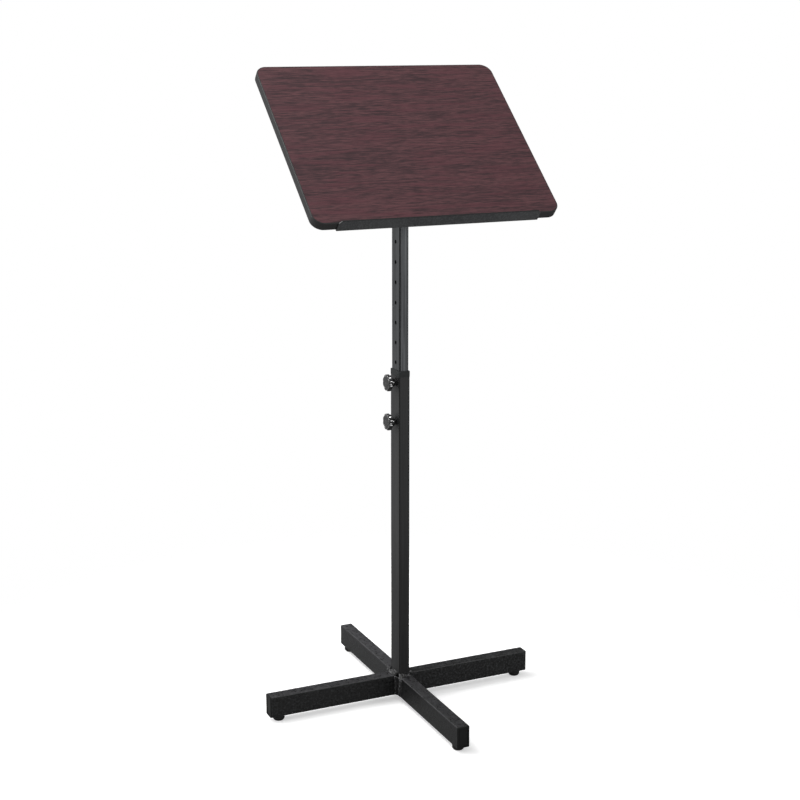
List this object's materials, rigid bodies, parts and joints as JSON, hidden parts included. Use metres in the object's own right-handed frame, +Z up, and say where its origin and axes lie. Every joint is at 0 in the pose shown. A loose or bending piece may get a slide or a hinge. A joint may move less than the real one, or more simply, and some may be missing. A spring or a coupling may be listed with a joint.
{
  "type": "presentation lectern",
  "caption": "Floor-standing presentation lectern: a cross base, a telescoping rectangular post with screw knobs and a tilting wood-grain reading desk with a front book stop.",
  "frame": {"origin": "on the floor at the middle of the cross base, on the axis of the post", "axes": "+Z up, -Y towards the reader and the book stop, +X to the reader's right; the height knobs are on the -X side"},
  "size_m": [0.5334, 0.5334, 1.1765],
  "materials": {
    "powder_coat": "black fine-textured powder coat, satin",
    "cap_plastic": "moulded black plastic, fine grain",
    "glide_plastic": "moulded black nylon, slightly worn",
    "knob_plastic": "glossy black phenolic, grained outer face",
    "nylon": "natural nylon",
    "zinc_steel": "bright zinc plated",
    "brass_insert": "turned brass",
    "particle_board": "raw particle board",
    "wood_laminate": "dark mahogany wood-grain laminate, satin",
    "backing_sheet": "dark balancing sheet, matt",
    "edge_plastic": "charcoal black moulded edge band, fine grain"
  },
  "bodies": {
    "base": {"crossing_welds": "powder_coat", "front_end_cap": "cap_plastic", "front_glide": "glide_plastic", "front_leg": "powder_coat", "guide_collar": "cap_plastic", "left_end_cap": "cap_plastic", "left_glide": "glide_plastic", "left_leg": "powder_coat", "lower_weld_nut": "powder_coat", "outer_post": "powder_coat", "post_foot_welds": "powder_coat", "rear_end_cap": "cap_plastic", "rear_glide": "glide_plastic", "rear_leg": "powder_coat", "right_end_cap": "cap_plastic", "right_glide": "glide_plastic", "right_leg": "powder_coat", "upper_weld_nut": "powder_coat"},
    "mast": {"friction_washers": "nylon", "inner_post": "powder_coat", "pivot_bolt": "zinc_steel", "pivot_nut": "zinc_steel", "pivot_washers": "zinc_steel", "post_top_cap": "cap_plastic", "slider_plug": "cap_plastic", "tilt_lock_bolt": "zinc_steel"},
    "desk": {"book_stop": "powder_coat", "book_stop_screws": "zinc_steel", "bracket_welds": "powder_coat", "desk_backer": "backing_sheet", "desk_core": "particle_board", "desk_laminate": "wood_laminate", "edge_band": "edge_plastic", "mount_plate": "powder_coat", "plate_screws": "zinc_steel", "tilt_bracket": "powder_coat"},
    "upper_knob_carriage": {"upper_knob_washer": "nylon"},
    "upper_knob": {"upper_knob_head": "knob_plastic", "upper_knob_stud": "zinc_steel"},
    "lower_knob_carriage": {"lower_knob_washer": "nylon"},
    "lower_knob": {"lower_knob_head": "knob_plastic", "lower_knob_stud": "zinc_steel"},
    "tilt_knob_carriage": {"tilt_knob_washer": "zinc_steel"},
    "tilt_knob": {"tilt_knob_head": "knob_plastic", "tilt_knob_insert": "brass_insert"}
  },
  "joints": [
    {"name": "height_slide", "type": "slide", "parent": "base", "child": "mast", "axis": [0, 0, 1], "range_m": [-0.2928, 0.1098]},
    {"name": "desk_tilt", "type": "hinge", "parent": "mast", "child": "desk", "pos_m": [0, 0, 1.0205], "axis": [1, 0, 0], "range_deg": [-41.2, 3.8]},
    {"name": "upper_knob_travel", "type": "slide", "parent": "base", "child": "upper_knob_carriage", "axis": [1, 0, 0], "range_m": [-0.003, 0.003]},
    {"name": "upper_knob_turn", "type": "hinge", "parent": "upper_knob_carriage", "child": "upper_knob", "pos_m": [-0.0103, 0, 0.6162], "axis": [1, 0, 0], "range_deg": [-1080.5, 1080.5]},
    {"name": "lower_knob_travel", "type": "slide", "parent": "base", "child": "lower_knob_carriage", "axis": [1, 0, 0], "range_m": [-0.003, 0.003]},
    {"name": "lower_knob_turn", "type": "hinge", "parent": "lower_knob_carriage", "child": "lower_knob", "pos_m": [-0.0103, 0, 0.543], "axis": [1, 0, 0], "range_deg": [-1080.5, 1080.5]},
    {"name": "tilt_knob_travel", "type": "slide", "parent": "mast", "child": "tilt_knob_carriage", "axis": [1, 0, 0], "range_m": [-0.002, 0.00025]},
    {"name": "tilt_knob_turn", "type": "hinge", "parent": "tilt_knob_carriage", "child": "tilt_knob", "pos_m": [-0.013, 0, 0.9825], "axis": [1, 0, 0], "range_deg": [-720.5, 90.5]}
  ],
  "couplings": [
    {"joint": "upper_knob_turn", "follows": "upper_knob_travel", "rad_per_m": 6283.2},
    {"joint": "lower_knob_turn", "follows": "lower_knob_travel", "rad_per_m": 6283.2},
    {"joint": "tilt_knob_turn", "follows": "tilt_knob_travel", "rad_per_m": 6283.2}
  ]
}
